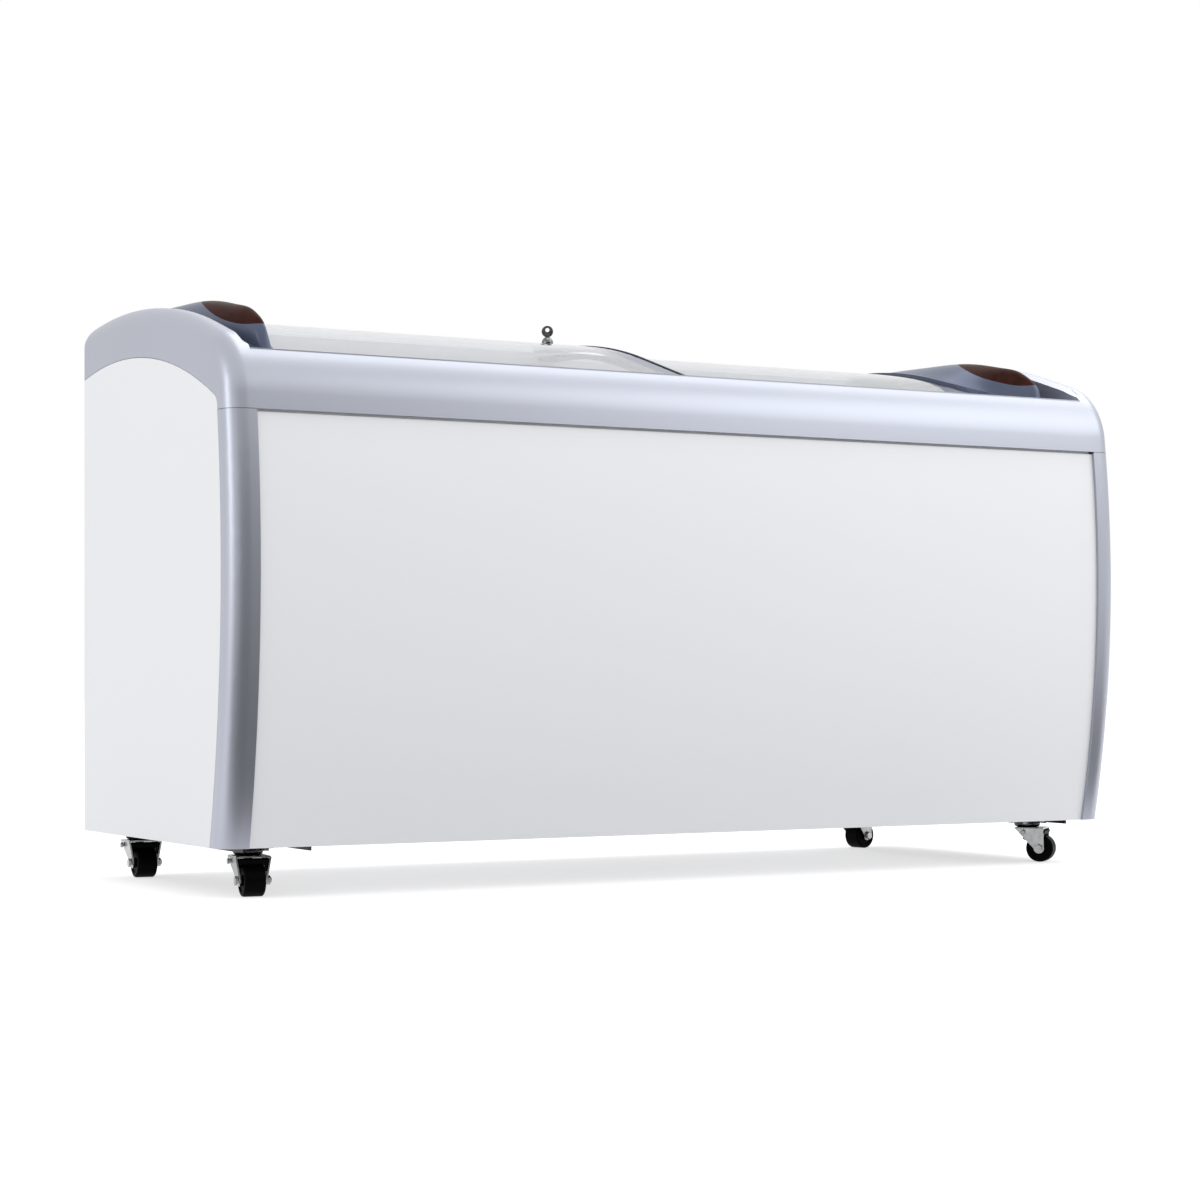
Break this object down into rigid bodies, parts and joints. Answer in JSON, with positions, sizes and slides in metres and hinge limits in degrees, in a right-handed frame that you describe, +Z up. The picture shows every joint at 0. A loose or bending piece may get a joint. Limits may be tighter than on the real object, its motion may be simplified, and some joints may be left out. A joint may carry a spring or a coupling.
{
  "type": "ice cream display freezer",
  "caption": "Chest display freezer on swivel casters, with curved glass lids that slide sideways past each other, raised brown pulls, a keyed lock and hanging wire baskets.",
  "frame": {"origin": "on the floor, under the middle of the cabinet's footprint", "axes": "+X along the cabinet to the right as seen by a customer, -Y towards the customer, +Z up"},
  "size_m": [1.8, 0.674, 1.0251],
  "materials": {
    "white_sheet": "gloss",
    "silver_moulding": "satin",
    "dark_steel": "satin",
    "zinc_steel": "satin",
    "tank_sheet": "satin",
    "track_plastic": "satin",
    "foam": "matte",
    "copper": "satin",
    "basket_wire": "satin",
    "lid_glass": "polished",
    "grip_brown": "gloss",
    "seal_rubber": "matte",
    "chrome": "polished",
    "wheel_black": "gloss",
    "black_paint": "satin",
    "black_plastic": "satin",
    "foot_rubber": "matte",
    "grey_plastic": "satin",
    "lamp_plastic": "gloss"
  },
  "bodies": {
    "cabinet": {"left_side_panel": "white_sheet", "right_side_panel": "white_sheet", "front_panel": "white_sheet", "back_panel": "zinc_steel", "base_pan": "zinc_steel", "base_channels": "dark_steel", "left_corner_post": "silver_moulding", "right_corner_post": "silver_moulding", "left_end_cap": "silver_moulding", "right_end_cap": "silver_moulding", "front_rail": "silver_moulding", "rear_rail": "silver_moulding", "front_lid_track": "track_plastic", "rear_lid_track": "track_plastic", "inner_tank": "tank_sheet", "evaporator_coil": "copper", "insulation_foam": "foam", "compartment_liner": "zinc_steel", "drain_tube": "grey_plastic", "drain_cap": "grey_plastic", "basket_ledges": "tank_sheet", "caster_plates": "zinc_steel", "caster_bolts": "zinc_steel", "compressor": "black_paint", "relay_box": "black_plastic", "compressor_feet": "foot_rubber", "fan_shroud": "grey_plastic", "fan_motor": "black_paint", "condenser_coil": "black_paint", "refrigerant_lines": "copper", "vent_grille": "grey_plastic", "control_plate": "grey_plastic", "indicator_lamps": "lamp_plastic", "power_inlet": "black_plastic"},
    "left_lid": {"left_lid_glass": "lid_glass", "left_lid_end_frame": "silver_moulding", "left_lid_grip": "grip_brown", "left_lid_inner_frame": "silver_moulding", "centre_seal": "seal_rubber", "lock_barrel": "chrome"},
    "right_lid": {"right_lid_glass": "lid_glass", "right_lid_end_frame": "silver_moulding", "right_lid_grip": "grip_brown", "right_lid_inner_frame": "silver_moulding"},
    "lock_key": {"key": "chrome"},
    "thermostat": {"thermostat_knob": "black_plastic"},
    "rocker": {"power_rocker": "black_plastic"},
    "fan": {"condenser_fan": "black_plastic"},
    "basket_1": {"basket_1": "basket_wire"},
    "basket_2": {"basket_2": "basket_wire"},
    "basket_3": {"basket_3": "basket_wire"},
    "front_left_swivel": {"front_left_caster_fork": "zinc_steel"},
    "front_left_wheel": {"front_left_caster_wheel": "wheel_black"},
    "front_right_swivel": {"front_right_caster_fork": "zinc_steel"},
    "front_right_wheel": {"front_right_caster_wheel": "wheel_black"},
    "rear_left_swivel": {"rear_left_caster_fork": "zinc_steel"},
    "rear_left_wheel": {"rear_left_caster_wheel": "wheel_black"},
    "rear_right_swivel": {"rear_right_caster_fork": "zinc_steel"},
    "rear_right_wheel": {"rear_right_caster_wheel": "wheel_black"}
  },
  "joints": [
    {"name": "left_lid_slide", "type": "slide", "parent": "cabinet", "child": "left_lid", "axis": [1, 0, 0], "range_m": [0, 0.698]},
    {"name": "right_lid_slide", "type": "slide", "parent": "cabinet", "child": "right_lid", "axis": [1, 0, 0], "range_m": [-0.698, 0]},
    {"name": "key_turn", "type": "hinge", "parent": "left_lid", "child": "lock_key", "pos_m": [-0.0015, 0.263, 1], "axis": [0, 0, 1], "range_deg": [0, 90]},
    {"name": "thermostat_turn", "type": "hinge", "parent": "cabinet", "child": "thermostat", "pos_m": [0.8885, 0.17, 0.225], "axis": [1, 0, 0], "range_deg": [-135, 135]},
    {"name": "power_rocker_tilt", "type": "hinge", "parent": "cabinet", "child": "rocker", "pos_m": [0.8875, 0.213, 0.225], "axis": [0, 1, 0], "range_deg": [-7, 7]},
    {"name": "fan_spin", "type": "hinge", "parent": "cabinet", "child": "fan", "pos_m": [0.829, -0.06, 0.205], "axis": [1, 0, 0], "continuous": true},
    {"name": "basket_1_lift", "type": "slide", "parent": "cabinet", "child": "basket_1", "axis": [0, 0, 1], "range_m": [0, 0.06]},
    {"name": "basket_2_lift", "type": "slide", "parent": "cabinet", "child": "basket_2", "axis": [0, 0, 1], "range_m": [0, 0.06]},
    {"name": "basket_3_lift", "type": "slide", "parent": "cabinet", "child": "basket_3", "axis": [0, 0, 1], "range_m": [0, 0.06]},
    {"name": "front_left_swivel_turn", "type": "hinge", "parent": "cabinet", "child": "front_left_swivel", "pos_m": [-0.812, -0.191, 0.07], "axis": [0, 0, 1], "continuous": true},
    {"name": "front_left_wheel_spin", "type": "hinge", "parent": "front_left_swivel", "child": "front_left_wheel", "pos_m": [-0.81622, -0.21767, 0.026], "axis": [0.9877, -0.1564, 0], "continuous": true},
    {"name": "front_right_swivel_turn", "type": "hinge", "parent": "cabinet", "child": "front_right_swivel", "pos_m": [0.799, -0.191, 0.07], "axis": [0, 0, 1], "continuous": true},
    {"name": "front_right_wheel_spin", "type": "hinge", "parent": "front_right_swivel", "child": "front_right_wheel", "pos_m": [0.81599, -0.21198, 0.026], "axis": [0.7771, 0.6293, 0], "continuous": true},
    {"name": "rear_left_swivel_turn", "type": "hinge", "parent": "cabinet", "child": "rear_left_swivel", "pos_m": [-0.812, 0.297, 0.07], "axis": [0, 0, 1], "continuous": true},
    {"name": "rear_left_wheel_spin", "type": "hinge", "parent": "rear_left_swivel", "child": "rear_left_wheel", "pos_m": [-0.81412, 0.27008, 0.026], "axis": [0.9969, -0.0785, 0], "continuous": true},
    {"name": "rear_right_swivel_turn", "type": "hinge", "parent": "cabinet", "child": "rear_right_swivel", "pos_m": [0.733, 0.297, 0.07], "axis": [0, 0, 1], "continuous": true},
    {"name": "rear_right_wheel_spin", "type": "hinge", "parent": "rear_right_swivel", "child": "rear_right_wheel", "pos_m": [0.75931, 0.30307, 0.026], "axis": [-0.225, 0.9744, 0], "continuous": true}
  ]
}
